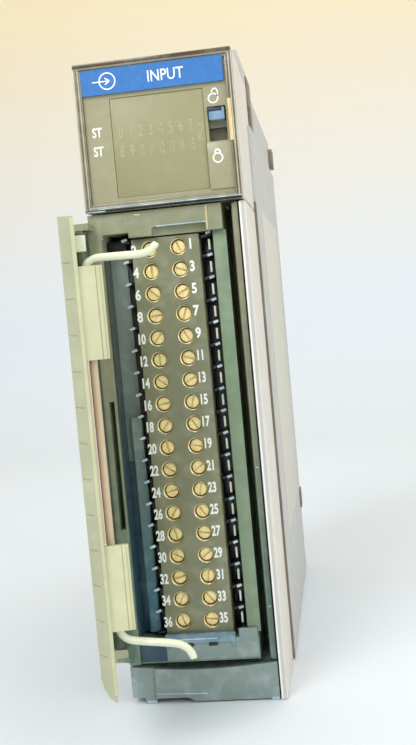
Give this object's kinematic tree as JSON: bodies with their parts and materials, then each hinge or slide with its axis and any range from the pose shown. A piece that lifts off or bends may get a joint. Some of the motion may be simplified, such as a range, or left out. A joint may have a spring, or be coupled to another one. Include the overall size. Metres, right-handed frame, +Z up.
{
  "type": "plc input module",
  "caption": "Slim plastic-cased digital input module for a controller rack, with display bezel, removable screw terminal block, hinged cover and wire bail.",
  "frame": {"origin": "on the case's bottom face, at the middle of its width and depth", "axes": "+X right seen from the front, +Y to the back (backplane side), +Z up"},
  "size_m": [0.0394, 0.16, 0.1464],
  "materials": {
    "case": "fine texture",
    "card": "paper card",
    "board": "solder mask",
    "black": "satin",
    "olive": "satin",
    "olive_dark": "satin",
    "display": "smooth",
    "blue_label": "printed",
    "lever": "smooth",
    "chin": "smooth",
    "brass": "plated",
    "cream": "satin",
    "steel": "drawn"
  },
  "bodies": {
    "case": {"case_body": "case", "case_cover": "case", "side_label": "card", "circuit_board": "board", "backplane_connector": "black", "field_header": "black", "indicator_board": "board", "front_bezel": "olive", "display_plate": "display", "indicator_window": "display", "type_label": "blue_label", "pocket_frame": "olive", "lower_cover": "chin"},
    "lock_lever": {"lock_lever": "lever"},
    "top_latch": {"top_latch": "olive_dark"},
    "bottom_latch": {"bottom_latch": "olive_dark"},
    "terminal_unit": {"terminal_frame": "olive", "terminal_block": "olive_dark", "wire_comb_left": "black", "wire_comb_right": "black", "hinge_pin": "steel", "terminal_screw_01": "brass", "terminal_screw_02": "brass", "terminal_screw_03": "brass", "terminal_screw_04": "brass", "terminal_screw_05": "brass", "terminal_screw_06": "brass", "terminal_screw_07": "brass", "terminal_screw_08": "brass", "terminal_screw_09": "brass", "terminal_screw_10": "brass", "terminal_screw_11": "brass", "terminal_screw_12": "brass", "terminal_screw_13": "brass", "terminal_screw_14": "brass", "terminal_screw_15": "brass", "terminal_screw_16": "brass", "terminal_screw_17": "brass", "terminal_screw_18": "brass", "terminal_screw_19": "brass", "terminal_screw_20": "brass", "terminal_screw_21": "brass", "terminal_screw_22": "brass", "terminal_screw_23": "brass", "terminal_screw_24": "brass", "terminal_screw_25": "brass", "terminal_screw_26": "brass", "terminal_screw_27": "brass", "terminal_screw_28": "brass", "terminal_screw_29": "brass", "terminal_screw_30": "brass", "terminal_screw_31": "brass", "terminal_screw_32": "brass", "terminal_screw_33": "brass", "terminal_screw_34": "brass", "terminal_screw_35": "brass", "terminal_screw_36": "brass"},
    "door": {"terminal_door": "cream", "door_label_card": "card"},
    "bail": {"wire_bail": "cream"}
  },
  "joints": [
    {"name": "door_hinge", "type": "hinge", "parent": "terminal_unit", "child": "door", "pos_m": [-0.0186, -0.0616, 0.06], "axis": [0, 0, 1], "range_deg": [-25, 76]},
    {"name": "bail_swing", "type": "hinge", "parent": "door", "child": "bail", "pos_m": [-0.01122, -0.09058, 0.06], "axis": [0, 0, 1], "range_deg": [-26.4, 80]},
    {"name": "lock_slide", "type": "slide", "parent": "case", "child": "lock_lever", "axis": [0, 0, -1], "range_m": [0, 0.0039]},
    {"name": "terminal_pull", "type": "slide", "parent": "case", "child": "terminal_unit", "axis": [0, -1, 0], "range_m": [0, 0.012]},
    {"name": "top_latch_press", "type": "hinge", "parent": "case", "child": "top_latch", "pos_m": [0, -0.0175, 0.1429], "axis": [1, 0, 0], "range_deg": [0, 3], "stiffness_Nm_per_rad": 0.5},
    {"name": "bottom_latch_press", "type": "hinge", "parent": "case", "child": "bottom_latch", "pos_m": [0, -0.0156, 0.0011], "axis": [-1, 0, 0], "range_deg": [0, 5], "stiffness_Nm_per_rad": 0.3}
  ],
  "couplings": [
    {"joint": "bail_swing", "follows": "door_hinge", "ratio": 1.05}
  ]
}
